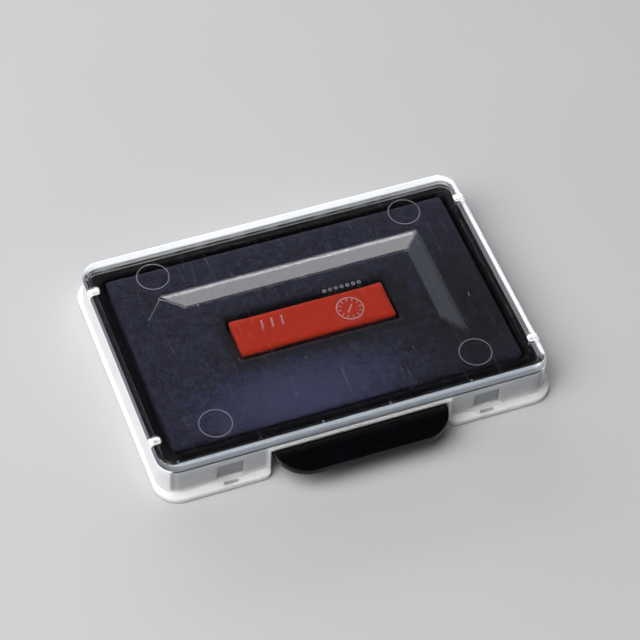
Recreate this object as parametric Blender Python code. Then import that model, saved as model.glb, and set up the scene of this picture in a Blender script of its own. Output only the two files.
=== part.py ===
"""Two-colour replacement ink pad under its lift-off cap.

A black cartridge holds a large main pad and a small date pad in a walled
well at its centre. A white open-bottomed frame stands round the cartridge,
and a clear window plate closes the frame's top. Frame and window together
are the cap, which lifts straight up; the cartridge's half-moon grip sticks
out through the notch in the cap's front wall.

Metres, +Z up, +X along the long side, front at -Y. The origin is the middle
of the cartridge's underside, on the surface that everything stands on.
"""

import math

import bmesh
import bpy

MM = 0.001
GAP = 0.3 * MM                      # clearance between neighbouring pieces

# Cap frame: a plain upright wall standing on an outward flange.
FRAME_HALF_X = 32.9 * MM            # outer face of the side walls
FRAME_HALF_Y = 21.9 * MM            # outer face of the front and back walls
FRAME_CORNER = 3.2 * MM
FRAME_WALL = 1.0 * MM               # front and back walls
FRAME_SIDE_WALL = 0.6 * MM
FRAME_TOP = 6.2 * MM
FLANGE_OUT_X = 0.7 * MM             # how far the flange stands out at the sides
FLANGE_OUT_Y = 1.5 * MM             # and at the front and back
FLANGE_CORNER = 4.0 * MM
FLANGE_THICK = 1.1 * MM
EDGE_BREAK = 0.2 * MM               # chamfer on the moulded edges

# Notch for the cartridge's grip, in the cap's front wall.
NOTCH_HALF_X = 15.0 * MM
NOTCH_TOP = 5.3 * MM
NOTCH_FOOT_RADIUS = 1.4 * MM        # rounding of the flange ends beside the notch

# Latch panels: a shallow dent in the wall over a slit in the flange.
LATCH_X = 21.7 * MM
LATCH_WIDTH = 4.4 * MM
LATCH_TOP = 4.9 * MM
LATCH_SILL = 0.15 * MM              # height of the dent's lower edge above the flange
LATCH_DEPTH = 0.35 * MM
SLIT_LENGTH = 2.4 * MM
SLIT_WIDTH = 0.45 * MM

# Loops that rise from the side walls through the window's edge.
LOOP_Y = 15.7 * MM
LOOP_WIDTH = 1.4 * MM
LOOP_TIP_X = 31.1 * MM              # inner end of each loop
LOOP_BOTTOM = 5.4 * MM
LOOP_TOP = 7.25 * MM
LOOP_SLOT_WIDTH = 0.45 * MM
LOOP_RIM = 0.3 * MM                 # material left at the slot's inner end

# Clear window plate with its raised centre panel and locating rib.
WINDOW_THICK = 1.0 * MM
WINDOW_EDGE_RADIUS = 0.5 * MM
PANEL_FOOT_X = 22.7 * MM            # foot of the sloping border
PANEL_FOOT_Y = 11.4 * MM
PANEL_TOP_X = 19.2 * MM             # flat top of the raised panel
PANEL_TOP_Y = 7.5 * MM
PANEL_RISE = 0.7 * MM
PANEL_CORNER = 0.4 * MM
RIB_WIDTH = 0.35 * MM
RIB_DEPTH = 0.3 * MM

# Cartridge: tub, guide rail all round, divider and grip.
TUB_HALF_X = 30.8 * MM
TUB_HALF_Y = 19.1 * MM
TUB_CORNER = 2.2 * MM
TUB_WALL = 0.7 * MM
TUB_FLOOR = 1.0 * MM
TUB_TOP = 5.7 * MM
RAIL_BOTTOM = 4.0 * MM
RAIL_TOP = 4.9 * MM
DIVIDER_HALF_X = 14.4 * MM
DIVIDER_HALF_Y = 4.8 * MM
DIVIDER_WALL = 0.7 * MM
DIVIDER_TOP = 4.3 * MM              # below the felts, which nearly meet over it
DIVIDER_CORNER = 0.8 * MM
GRIP_HALF_X = 14.6 * MM
GRIP_FRONT_Y = 27.4 * MM            # distance of the grip's front edge from the centre
GRIP_CORNER = 5.5 * MM
GRIP_BOTTOM = 3.9 * MM
GRIP_TOP = 5.0 * MM

# Pads: a foam reservoir under a printing felt, in both wells.
FOAM_BOTTOM = TUB_FLOOR + GAP
FOAM_TOP = 4.3 * MM
FELT_BOTTOM = FOAM_TOP + GAP
FELT_TOP = 6.1 * MM
FELT_CORNER = 1.2 * MM

CORNER_STEPS = 6                    # straight pieces in each rounded corner
CUTTER_PAST = 1.0 * MM              # how far a cutter runs past what it cuts

# Sizes that follow from the ones above.
FRAME_IN_X = FRAME_HALF_X - FRAME_SIDE_WALL
FRAME_IN_Y = FRAME_HALF_Y - FRAME_WALL
FRAME_IN_CORNER = FRAME_CORNER - FRAME_WALL
WINDOW_BOTTOM = FRAME_TOP + GAP
WINDOW_TOP = WINDOW_BOTTOM + WINDOW_THICK
RAIL_HALF_X = FRAME_IN_X - GAP
RAIL_HALF_Y = FRAME_IN_Y - GAP
WELL_HALF_X = TUB_HALF_X - TUB_WALL
WELL_HALF_Y = TUB_HALF_Y - TUB_WALL
CUP_HALF_X = DIVIDER_HALF_X - DIVIDER_WALL
CUP_HALF_Y = DIVIDER_HALF_Y - DIVIDER_WALL
DATE_HALF_X = CUP_HALF_X - GAP
DATE_HALF_Y = CUP_HALF_Y - GAP
DATE_CORNER = DIVIDER_CORNER / 2


def clear_scene():
    """Start from an empty scene."""
    for thing in list(bpy.data.objects):
        bpy.data.objects.remove(thing, do_unlink=True)


def plastic(name, colour, roughness, transmission=0.0):
    """A Principled BSDF material."""
    material = bpy.data.materials.new(name)
    material.use_nodes = True
    shader = material.node_tree.nodes["Principled BSDF"]
    shader.inputs["Base Color"].default_value = (*colour, 1.0)
    shader.inputs["Roughness"].default_value = roughness
    shader.inputs["Metallic"].default_value = 0.0
    shader.inputs["Transmission Weight"].default_value = transmission
    return material


def rounded_rectangle(half_x, half_y, radius, steps=CORNER_STEPS):
    """Outline points, anticlockwise from the right side's front end."""
    points = []
    corners = ((1, -1, -90), (1, 1, 0), (-1, 1, 90), (-1, -1, 180))
    for side_x, side_y, start in corners:
        centre_x = side_x * (half_x - radius)
        centre_y = side_y * (half_y - radius)
        for step in range(steps + 1):
            angle = math.radians(start + 90.0 * step / steps)
            x = centre_x + radius * math.cos(angle)
            y = centre_y + radius * math.sin(angle)
            points.append((x, y))
    return points


def mesh_object(name, work, material):
    """Turn a bmesh into a named object, smooth across its rounded corners."""
    bmesh.ops.recalc_face_normals(work, faces=work.faces)
    mesh = bpy.data.meshes.new(name)
    work.to_mesh(mesh)
    work.free()
    mesh.materials.append(material)
    mesh.shade_smooth()
    mesh.set_sharp_from_angle(angle=math.radians(35.0))
    thing = bpy.data.objects.new(name, mesh)
    bpy.context.collection.objects.link(thing)
    return thing


def stacked_rings(name, rings, material, closed=False):
    """A solid through rounded rectangles (half_x, half_y, radius, z).

    An open stack is capped at both ends. A closed one joins its last ring
    to its first, which makes a frame with a hole through it.
    """
    work = bmesh.new()
    loops = []
    for half_x, half_y, radius, z in rings:
        outline = rounded_rectangle(half_x, half_y, radius)
        loops.append([work.verts.new((x, y, z)) for x, y in outline])
    count = len(loops[0])
    pairs = list(zip(loops, loops[1:]))
    if closed:
        pairs.append((loops[-1], loops[0]))
    for lower, upper in pairs:
        for index in range(count):
            after = (index + 1) % count
            work.faces.new((lower[index], lower[after], upper[after], upper[index]))
    if not closed:
        work.faces.new(loops[0])
        work.faces.new(loops[-1])
    return mesh_object(name, work, material)


def prism(name, outline, bottom, top, material):
    """An upright solid on any outline."""
    work = bmesh.new()
    lower = [work.verts.new((x, y, bottom)) for x, y in outline]
    upper = [work.verts.new((x, y, top)) for x, y in outline]
    work.faces.new(lower)
    work.faces.new(upper)
    for index in range(len(outline)):
        after = (index + 1) % len(outline)
        work.faces.new((lower[index], lower[after], upper[after], upper[index]))
    return mesh_object(name, work, material)


def box_outline(low_x, high_x, low_y, high_y):
    """The four corners of a rectangle."""
    return [(low_x, low_y), (high_x, low_y), (high_x, high_y), (low_x, high_y)]


def combine(target, tool, operation):
    """Boolean the tool into the target, then keep the tool as a guide only."""
    modifier = target.modifiers.new(tool.name, "BOOLEAN")
    modifier.operation = operation
    modifier.solver = "EXACT"
    modifier.object = tool
    tool.hide_render = True
    tool.display_type = "WIRE"
    tool.parent = target


def corner_tag(side_x, side_y):
    """Names one of the four corners, such as left_front."""
    across = "right" if side_x > 0 else "left"
    along = "back" if side_y > 0 else "front"
    return f"{across}_{along}"


def notch_outline():
    """The notch seen from above: it flares where the flange ends are rounded."""
    wall_y = -(FRAME_IN_Y - CUTTER_PAST)
    flange_y = -(FRAME_HALF_Y + FLANGE_OUT_Y)
    bend_y = flange_y + NOTCH_FOOT_RADIUS
    right = [(NOTCH_HALF_X, wall_y)]
    for step in range(CORNER_STEPS + 1):
        angle = math.radians(90.0 * step / CORNER_STEPS)
        x = NOTCH_HALF_X + NOTCH_FOOT_RADIUS * (1.0 - math.cos(angle))
        y = bend_y - NOTCH_FOOT_RADIUS * math.sin(angle)
        right.append((x, y))
    right.append((NOTCH_HALF_X + NOTCH_FOOT_RADIUS, flange_y - CUTTER_PAST))
    left = [(-x, y) for x, y in reversed(right)]
    return right + left


def add_side_loop(frame, side_x, side_y, material):
    """One loop: a block rising from the side wall, with a slot through it."""
    tag = corner_tag(side_x, side_y)
    inner = side_x * LOOP_TIP_X
    outer = side_x * FRAME_HALF_X
    low_x, high_x = sorted((inner, outer))
    centre_y = side_y * LOOP_Y
    half_y = LOOP_WIDTH / 2
    outline = box_outline(low_x, high_x, centre_y - half_y, centre_y + half_y)
    block = prism("loop_block_" + tag, outline, LOOP_BOTTOM, LOOP_TOP, material)
    combine(frame, block, "UNION")
    slot_half = LOOP_SLOT_WIDTH / 2
    slot_low_x, slot_high_x = sorted((side_x * (LOOP_TIP_X + LOOP_RIM), side_x * FRAME_IN_X))
    outline = box_outline(slot_low_x, slot_high_x, centre_y - slot_half, centre_y + slot_half)
    slot = prism(
        "loop_slot_" + tag, outline, LOOP_BOTTOM - CUTTER_PAST, LOOP_TOP + CUTTER_PAST, material
    )
    combine(frame, slot, "DIFFERENCE")


def add_latch_panel(frame, side_x, side_y, material):
    """A dent in the wall and the slit in the flange below it."""
    tag = corner_tag(side_x, side_y)
    centre_x = side_x * LATCH_X
    half_width = LATCH_WIDTH / 2
    low_y, high_y = sorted((
        side_y * (FRAME_HALF_Y - LATCH_DEPTH),
        side_y * (FRAME_HALF_Y + CUTTER_PAST),
    ))
    outline = box_outline(centre_x - half_width, centre_x + half_width, low_y, high_y)
    dent_bottom = FLANGE_THICK + LATCH_SILL
    dent = prism("latch_dent_" + tag, outline, dent_bottom, LATCH_TOP, material)
    combine(frame, dent, "DIFFERENCE")
    slit_y = side_y * (FRAME_HALF_Y + FLANGE_OUT_Y / 2)
    outline = box_outline(
        centre_x - SLIT_LENGTH / 2, centre_x + SLIT_LENGTH / 2,
        slit_y - SLIT_WIDTH / 2, slit_y + SLIT_WIDTH / 2,
    )
    slit = prism(
        "latch_slit_" + tag, outline, -CUTTER_PAST, FLANGE_THICK + CUTTER_PAST, material
    )
    combine(frame, slit, "DIFFERENCE")


def build_cap_frame(material):
    """White walls on a flange, open at the top and the bottom."""
    out_x = FRAME_HALF_X + FLANGE_OUT_X
    out_y = FRAME_HALF_Y + FLANGE_OUT_Y
    edge = EDGE_BREAK
    rings = [
        (out_x - edge, out_y - edge, FLANGE_CORNER - edge, 0.0),
        (out_x, out_y, FLANGE_CORNER, edge),
        (out_x, out_y, FLANGE_CORNER, FLANGE_THICK - edge),
        (out_x - edge, out_y - edge, FLANGE_CORNER - edge, FLANGE_THICK),
        (FRAME_HALF_X, FRAME_HALF_Y, FRAME_CORNER, FLANGE_THICK),
        (FRAME_HALF_X, FRAME_HALF_Y, FRAME_CORNER, FRAME_TOP - edge),
        (FRAME_HALF_X - edge, FRAME_HALF_Y - edge, FRAME_CORNER - edge, FRAME_TOP),
        (FRAME_IN_X, FRAME_IN_Y, FRAME_IN_CORNER, FRAME_TOP),
        (FRAME_IN_X, FRAME_IN_Y, FRAME_IN_CORNER, 0.0),
    ]
    frame = stacked_rings("cap_frame", rings, material, closed=True)
    for side_x in (-1, 1):
        for side_y in (-1, 1):
            add_side_loop(frame, side_x, side_y, material)
            add_latch_panel(frame, side_x, side_y, material)
    notch = prism("notch_cutter", notch_outline(), -CUTTER_PAST, NOTCH_TOP, material)
    combine(frame, notch, "DIFFERENCE")
    return frame


def build_clear_window(material):
    """Clear plate on the frame's rim, with its centre panel raised."""
    top = WINDOW_TOP
    under = WINDOW_BOTTOM
    panel_top = (PANEL_TOP_X, PANEL_TOP_Y, PANEL_CORNER)
    panel_foot = (PANEL_FOOT_X, PANEL_FOOT_Y, PANEL_CORNER)
    rib_out = (RAIL_HALF_X, RAIL_HALF_Y, FRAME_IN_CORNER - GAP)
    rib_in = (
        RAIL_HALF_X - RIB_WIDTH,
        RAIL_HALF_Y - RIB_WIDTH,
        FRAME_IN_CORNER - GAP - RIB_WIDTH,
    )
    rings = [(*panel_top, top + PANEL_RISE), (*panel_foot, top)]
    edge_steps = 3
    for step in range(edge_steps + 1):
        angle = math.radians(90.0 * step / edge_steps)
        inset = WINDOW_EDGE_RADIUS * (1.0 - math.sin(angle))
        drop = WINDOW_EDGE_RADIUS * (1.0 - math.cos(angle))
        rings.append((
            FRAME_HALF_X - inset, FRAME_HALF_Y - inset, FRAME_CORNER - inset, top - drop
        ))
    rings += [
        (FRAME_HALF_X, FRAME_HALF_Y, FRAME_CORNER, under),
        (*rib_out, under),
        (*rib_out, under - RIB_DEPTH),
        (*rib_in, under - RIB_DEPTH),
        (*rib_in, under),
        (*panel_foot, under),
        (*panel_top, under + PANEL_RISE),
    ]
    window = stacked_rings("clear_window", rings, material)
    half_width = LOOP_WIDTH / 2 + GAP
    for side_x in (-1, 1):
        for side_y in (-1, 1):
            low_x, high_x = sorted((
                side_x * (LOOP_TIP_X - GAP), side_x * (FRAME_HALF_X + CUTTER_PAST)
            ))
            centre_y = side_y * LOOP_Y
            outline = box_outline(low_x, high_x, centre_y - half_width, centre_y + half_width)
            tag = corner_tag(side_x, side_y)
            cut = prism(
                "window_cut_" + tag, outline, under - RIB_DEPTH - CUTTER_PAST,
                top + CUTTER_PAST, material,
            )
            combine(window, cut, "DIFFERENCE")
    return window


def grip_outline():
    """Half-moon grip: a straight front edge between two quarter circles."""
    root_y = -(TUB_HALF_Y - TUB_WALL / 2)
    bend_x = GRIP_HALF_X - GRIP_CORNER
    bend_y = -(GRIP_FRONT_Y - GRIP_CORNER)
    arc_steps = 2 * CORNER_STEPS
    right = [(GRIP_HALF_X, root_y)]
    for step in range(arc_steps + 1):
        angle = math.radians(90.0 * step / arc_steps)
        x = bend_x + GRIP_CORNER * math.cos(angle)
        y = bend_y - GRIP_CORNER * math.sin(angle)
        right.append((x, y))
    left = [(-x, y) for x, y in reversed(right)]
    return right + left


def build_ink_cartridge(material):
    """Black tub with a rail all round, a divider round the date well, and the grip."""
    edge = EDGE_BREAK
    tub = (TUB_HALF_X, TUB_HALF_Y, TUB_CORNER)
    rail = (RAIL_HALF_X, RAIL_HALF_Y, FRAME_IN_CORNER - GAP)
    well = (WELL_HALF_X, WELL_HALF_Y, TUB_CORNER - TUB_WALL)
    divider = (DIVIDER_HALF_X, DIVIDER_HALF_Y, DIVIDER_CORNER)
    cup = (CUP_HALF_X, CUP_HALF_Y, DATE_CORNER)
    rings = [
        (TUB_HALF_X - edge, TUB_HALF_Y - edge, TUB_CORNER - edge, 0.0),
        (*tub, edge),
        (*tub, RAIL_BOTTOM),
        (*rail, RAIL_BOTTOM),
        (*rail, RAIL_TOP),
        (*tub, RAIL_TOP),
        (*tub, TUB_TOP),
        (*well, TUB_TOP),
        (*well, TUB_FLOOR),
        (*divider, TUB_FLOOR),
        (*divider, DIVIDER_TOP),
        (*cup, DIVIDER_TOP),
        (*cup, TUB_FLOOR),
    ]
    cartridge = stacked_rings("ink_cartridge", rings, material)
    grip = prism("grip_block", grip_outline(), GRIP_BOTTOM, GRIP_TOP, material)
    combine(cartridge, grip, "UNION")
    return cartridge


def build_main_layer(name, bottom, top, window, material):
    """One layer of the main pad. The window (half_x, half_y, corner) clears what it holds."""
    outer = (WELL_HALF_X - GAP, WELL_HALF_Y - GAP, FELT_CORNER)
    rings = [(*outer, bottom), (*outer, top), (*window, top), (*window, bottom)]
    return stacked_rings(name, rings, material, closed=True)


def build_date_layer(name, bottom, top, material):
    """One layer of the date pad, inside the divider."""
    layer = (DATE_HALF_X, DATE_HALF_Y, DATE_CORNER)
    rings = [(*layer, bottom), (*layer, top)]
    return stacked_rings(name, rings, material)


def build():
    clear_scene()
    white = plastic("white_plastic", (0.88, 0.88, 0.87), 0.35)
    black = plastic("black_plastic", (0.02, 0.02, 0.022), 0.4)
    clear = plastic("clear_plastic", (0.95, 0.96, 1.0), 0.05, transmission=1.0)
    violet_felt = plastic("violet_felt", (0.06, 0.06, 0.12), 0.9)
    red_felt = plastic("red_felt", (0.45, 0.06, 0.03), 0.9)
    violet_foam = plastic("violet_foam", (0.05, 0.05, 0.11), 0.95)
    red_foam = plastic("red_foam", (0.35, 0.05, 0.03), 0.95)
    build_ink_cartridge(black)
    round_divider = (DIVIDER_HALF_X + GAP, DIVIDER_HALF_Y + GAP, DIVIDER_CORNER + GAP)
    round_date_felt = (DATE_HALF_X + GAP, DATE_HALF_Y + GAP, DATE_CORNER)
    build_main_layer("main_reservoir_foam", FOAM_BOTTOM, FOAM_TOP, round_divider, violet_foam)
    build_main_layer("main_felt_pad", FELT_BOTTOM, FELT_TOP, round_date_felt, violet_felt)
    build_date_layer("date_reservoir_foam", FOAM_BOTTOM, FOAM_TOP, red_foam)
    build_date_layer("date_felt_pad", FELT_BOTTOM, FELT_TOP, red_felt)
    build_cap_frame(white)
    build_clear_window(clear)


build()
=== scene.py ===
"""Looks for the two-colour replacement ink pad under its lift-off cap.

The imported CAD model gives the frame: the places of the cartridge, the pads,
the white cap frame and the clear window. Each is built again here with
rounded edges, moulding marks and soft felt, rides on the same body and
stands for the CAD node of the same name. Metres, +Z up, front at -Y.
"""

import math

import bmesh
import bpy
from mathutils import Matrix, Quaternion, Vector, noise


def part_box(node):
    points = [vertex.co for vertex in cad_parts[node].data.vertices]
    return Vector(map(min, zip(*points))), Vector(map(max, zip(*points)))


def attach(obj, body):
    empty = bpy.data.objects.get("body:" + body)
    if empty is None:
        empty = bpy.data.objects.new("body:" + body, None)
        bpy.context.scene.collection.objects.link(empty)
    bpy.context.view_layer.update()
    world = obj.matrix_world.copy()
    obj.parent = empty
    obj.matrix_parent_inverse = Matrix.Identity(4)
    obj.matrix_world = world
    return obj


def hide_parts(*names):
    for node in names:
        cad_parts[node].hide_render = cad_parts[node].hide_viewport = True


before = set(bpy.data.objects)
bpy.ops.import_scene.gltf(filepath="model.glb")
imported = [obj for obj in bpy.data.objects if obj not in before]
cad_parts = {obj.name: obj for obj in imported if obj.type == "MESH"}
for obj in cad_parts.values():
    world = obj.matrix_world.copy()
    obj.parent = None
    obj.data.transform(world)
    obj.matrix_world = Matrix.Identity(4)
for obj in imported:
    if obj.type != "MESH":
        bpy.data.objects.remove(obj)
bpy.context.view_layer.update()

MM = 0.001
GAP = 0.3 * MM                      # clearance between neighbouring pieces

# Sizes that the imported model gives.
window_low, window_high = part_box("clear_window")
rail_low, rail_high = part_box("ink_cartridge")
felt_low, felt_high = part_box("main_felt_pad")
_, date_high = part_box("date_felt_pad")
FLANGE_X, FLANGE_Y, LOOP_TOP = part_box("cap_frame")[1]
WALL_X, WALL_Y, PANEL_Z = window_high
RAIL_X, RAIL_Y, TUB_TOP = rail_high
GRIP_FRONT = -rail_low.y
DIVIDER_TOP = felt_low.z - GAP

# Cap frame.
WALL = 1.0 * MM                     # front and back walls
SIDE_WALL = 0.6 * MM
WALL_CORNER = 3.2 * MM
WALL_TOP = 6.2 * MM
FLANGE_CORNER = 4.0 * MM
FLANGE_THICK = 1.1 * MM
INNER_X = WALL_X - SIDE_WALL
INNER_Y = WALL_Y - WALL
INNER_CORNER = WALL_CORNER - WALL
NOTCH_X = 15.0 * MM
NOTCH_TOP = 5.3 * MM
NOTCH_FOOT = 1.4 * MM               # rounding of the flange ends beside the notch
LATCH_X = 21.7 * MM
LATCH_WIDTH = 4.4 * MM
LATCH_TOP = 4.9 * MM
LATCH_SILL = 0.15 * MM
LATCH_DEPTH = 0.35 * MM
LATCH_FOOT_RISE = 0.5 * MM
LATCH_FOOT_OUT = 0.3 * MM
LATCH_FOOT_FLARE = 0.8 * MM
LATCH_FOOT_IN = 1.3 * LATCH_DEPTH   # how deep a foot goes into the wall
BEAD_WIDTH = 0.45 * MM              # raised rim round the notch
BEAD_PROUD = 0.25 * MM
SLIT_LENGTH = 2.4 * MM
SLIT_WIDTH = 0.6 * MM
LOOP_Y = 15.7 * MM
LOOP_HALF = 0.7 * MM
LOOP_TIP = 31.1 * MM                # inner end of each loop
LOOP_BOTTOM = 5.4 * MM
LOOP_THICK = 0.8 * MM               # the ring at the top of each loop
LOOP_CORNER = 0.5 * MM
LOOP_SLOT_HALF = 0.28 * MM
LOOP_RIM = 0.3 * MM
LOOP_FIT = 0.12 * MM                # clearance of a loop in the plate

# Clear window.
PLATE_TOP = 7.5 * MM
PLATE_UNDER = 6.5 * MM
PLATE_EDGE = 0.8 * MM
SIDE_EDGE_SHARE = 0.5               # how much of the edge rounding is dull at the sides
PANEL_FOOT = (22.7 * MM, 11.4 * MM)
PANEL_TOP = (19.2 * MM, 7.5 * MM)
PANEL_CORNER = 0.4 * MM
PANEL_EDGE = 0.08 * MM
FLAT_AREA = 1.5 * MM * MM           # larger faces of the window are shaded flat
EDGE_FACE_TILT = 0.98               # faces that look up more than this belong to the flat
RIB_WIDTH = 0.35 * MM
RIB_FADE = 0.03 * MM                # the rib's finish starts this far under the plate
RIB_BOTTOM = window_low.z
MARK_SINK = 0.08 * MM               # how deep a mark's foot goes into the plate
RING_PLACE = (22.0 * MM, 15.6 * MM)
RING_RADIUS = 2.64 * MM
RING_WIDTH = 0.13 * MM
RING_HEIGHT = 0.035 * MM

# Marks on the window.
DIAL_PLACE = (5.9 * MM, -1.3 * MM)
DIAL_RADIUS = 2.2 * MM
DIAL_TICKS = 12
TICK_SPAN = (0.68, 0.88)            # where a tick starts and ends, in dial radii
TICK_WIDTH = 0.16 * MM
TICK_HEIGHT = 0.05 * MM
POINTER_HALF = 0.9 * MM
POINTER_TURN = 0.9                  # radians
LINE_WIDTH = 0.2 * MM
LINE_HEIGHT = 0.06 * MM
BAR_COUNT = 3
BAR_START = -8.8 * MM
BAR_STEP = 1.7 * MM
BAR_HALF = 0.9 * MM
BAR_LEAN = 0.25 * MM
BAR_WIDTH = 0.26 * MM
BAR_HEIGHT = 0.07 * MM
PIP_COUNT = 7
PIP_START = (3.2 * MM, 3.35 * MM)
PIP_STEP = 1.0 * MM
PIP_RADIUS = 0.26 * MM
PIP_WIDTH = 0.15 * MM
WELD_WIDTH = 0.08 * MM
WELD_HEIGHT = 0.02 * MM
NUB_PLACES = (-29.9 * MM, -5.9 * MM, 5.4 * MM, 19.2 * MM)
NUB_INSET = 1.2 * MM                # from the plate's front edge
NUB_RADIUS = 0.14 * MM
NUB_WIDTH = 0.1 * MM
NUB_HEIGHT = 0.05 * MM

# Cartridge.
TUB_X = 30.8 * MM
TUB_Y = 19.1 * MM
TUB_CORNER = 2.2 * MM
TUB_WALL = 0.7 * MM
TUB_FLOOR = 1.0 * MM
RAIL_BOTTOM = 4.0 * MM
RAIL_TOP = 4.9 * MM
DIVIDER_X = 14.4 * MM
DIVIDER_Y = 4.8 * MM
DIVIDER_WALL = 0.7 * MM
DIVIDER_CORNER = 0.8 * MM
GRIP_X = 14.6 * MM
GRIP_CORNER = 5.5 * MM
GRIP_BOTTOM = 3.9 * MM
GRIP_TOP = 5.0 * MM

# Signs of x and y at the four corners.
CORNERS = [(side_x, side_y) for side_x in (-1, 1) for side_y in (-1, 1)]

# Fineness of the meshes.
CORNER_STEPS = 12
EDGE_STEPS = 3
CUTTER_PAST = 1.0 * MM
CAP_BREAK = 0.1 * MM                # rounding of the edges that cutters leave
WINDOW_BREAK = 0.08 * MM
CARTRIDGE_BREAK = 0.15 * MM
BREAK_ANGLE = math.radians(50.0)    # sharper edges than this are rounded

# Pads.
FELT_CORNER = 0.8 * MM
DATE_CORNER = DIVIDER_CORNER / 2
DATE_HOLE = (date_high.x + GAP, date_high.y + GAP, DATE_CORNER)
DIVIDER_HOLE = (DIVIDER_X + GAP, DIVIDER_Y + GAP, DIVIDER_CORNER + GAP)
PAD_EDGE = 0.15 * MM                # rounding of a pad's cut edges
SWELL_ROOM = 0.12 * MM              # the pads start this much smaller, then swell
SIM_SCALE = 8.0                     # the cloth solver works on a pad this much larger
SIM_PRESSURE = 4.0
SIM_FRAMES = 20


# ---------------------------------------------------------------- shapes

def rounded_rectangle(half_x, half_y, radius):
    """Outline points, anticlockwise from the right side's front end."""
    points = []
    corners = ((1, -1, -90), (1, 1, 0), (-1, 1, 90), (-1, -1, 180))
    for side_x, side_y, start in corners:
        centre_x = side_x * (half_x - radius)
        centre_y = side_y * (half_y - radius)
        for step in range(CORNER_STEPS + 1):
            angle = math.radians(start + 90.0 * step / CORNER_STEPS)
            x = centre_x + radius * math.cos(angle)
            y = centre_y + radius * math.sin(angle)
            points.append((x, y))
    return points


def soften(corners):
    """Round a stack's edges: each corner is (half_x, half_y, corner, z, edge radius)."""
    rings = []
    for index, corner in enumerate(corners):
        here = Vector(corner[:4])
        radius = corner[4]
        if radius == 0:
            rings.append(here)
            continue
        to_before = Vector(corners[index - 1][:4]) - here
        to_after = Vector(corners[(index + 1) % len(corners)][:4]) - here
        start = here + to_before * radius / max(abs(part) for part in to_before)
        end = here + to_after * radius / max(abs(part) for part in to_after)
        for step in range(EDGE_STEPS + 1):
            share = step / EDGE_STEPS
            rings.append(
                start * (1 - share) ** 2 + here * 2 * share * (1 - share) + end * share ** 2
            )
    return rings


def mesh_object(name, work, *materials):
    """Turn a bmesh into a named object."""
    bmesh.ops.recalc_face_normals(work, faces=work.faces)
    mesh = bpy.data.meshes.new(name)
    work.to_mesh(mesh)
    work.free()
    for material in materials:
        mesh.materials.append(material)
    mesh.shade_smooth()
    thing = bpy.data.objects.new(name, mesh)
    bpy.context.scene.collection.objects.link(thing)
    return thing


def stacked_rings(name, rings, material, closed=False):
    """A solid through rounded rectangles. A closed stack is a frame with a hole in it."""
    work = bmesh.new()
    loops = []
    for half_x, half_y, radius, z in rings:
        outline = rounded_rectangle(half_x, half_y, radius)
        loops.append([work.verts.new((x, y, z)) for x, y in outline])
    pairs = list(zip(loops, loops[1:]))
    if closed:
        pairs.append((loops[-1], loops[0]))
    for lower, upper in pairs:
        for index in range(len(lower)):
            after = (index + 1) % len(lower)
            work.faces.new((lower[index], lower[after], upper[after], upper[index]))
    if not closed:
        work.faces.new(loops[0])
        work.faces.new(loops[-1])
    return mesh_object(name, work, material)


def prism(name, outline, bottom, top, material):
    """An upright solid on any outline."""
    work = bmesh.new()
    lower = [work.verts.new((x, y, bottom)) for x, y in outline]
    upper = [work.verts.new((x, y, top)) for x, y in outline]
    work.faces.new(lower)
    work.faces.new(upper)
    for index in range(len(outline)):
        after = (index + 1) % len(outline)
        work.faces.new((lower[index], lower[after], upper[after], upper[index]))
    return mesh_object(name, work, material)


def box_outline(low_x, high_x, low_y, high_y):
    """The four corners of a rectangle."""
    return [(low_x, low_y), (high_x, low_y), (high_x, high_y), (low_x, high_y)]


def tongue_outline(tip_x, root_x, centre_y, half_width, radius):
    """A rectangle with its two tip corners rounded, for a loop or its slot."""
    side = 1 if root_x > tip_x else -1
    points = [(root_x, centre_y - half_width)]
    for turn, start in ((-1, 270), (1, 180)):
        for step in range(CORNER_STEPS // 2 + 1):
            angle = math.radians(start - 90.0 * 2 * step / CORNER_STEPS)
            x = tip_x + side * (radius + radius * math.cos(angle))
            y = centre_y + turn * (half_width - radius) + radius * math.sin(angle)
            points.append((x, y))
    points.append((root_x, centre_y + half_width))
    return points


def combine(target, tool, operation):
    """Boolean the tool into the target."""
    modifier = target.modifiers.new(tool.name, "BOOLEAN")
    modifier.operation = operation
    modifier.solver = "EXACT"
    modifier.material_mode = "TRANSFER"
    modifier.object = tool
    settle(target)
    bpy.data.objects.remove(tool)


def settle(thing):
    """Apply a piece's modifiers to its mesh."""
    graph = bpy.context.evaluated_depsgraph_get()
    mesh = bpy.data.meshes.new_from_object(thing.evaluated_get(graph))
    mesh.name = thing.name
    thing.modifiers.clear()
    thing.data = mesh


def break_edges(thing, width):
    """Round the edges that the cutters left, and keep flat faces flat to the light."""
    bevel = thing.modifiers.new("edges", "BEVEL")
    bevel.width = width
    bevel.segments = 2
    bevel.limit_method = "ANGLE"
    bevel.angle_limit = BREAK_ANGLE
    bevel.use_clamp_overlap = True
    settle(thing)
    thing.data.shade_smooth()
    flat = thing.modifiers.new("flat_faces", "WEIGHTED_NORMAL")
    flat.weight = 80


def place(thing, body, slot, *nodes):
    """The piece rides on a body and stands for CAD nodes. Its slot is not used."""
    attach(thing, body)
    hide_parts(*nodes)


# ---------------------------------------------------------------- cap frame

def notch_outline():
    """The notch seen from above: it flares where the flange ends are rounded."""
    wall_y = -(INNER_Y - CUTTER_PAST)
    bend_y = -FLANGE_Y + NOTCH_FOOT
    right = [(NOTCH_X, wall_y)]
    for step in range(CORNER_STEPS + 1):
        angle = math.radians(90.0 * step / CORNER_STEPS)
        x = NOTCH_X + NOTCH_FOOT * (1.0 - math.cos(angle))
        y = bend_y - NOTCH_FOOT * math.sin(angle)
        right.append((x, y))
    right.append((NOTCH_X + NOTCH_FOOT, -FLANGE_Y - CUTTER_PAST))
    left = [(-x, y) for x, y in reversed(right)]
    return right + left


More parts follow.
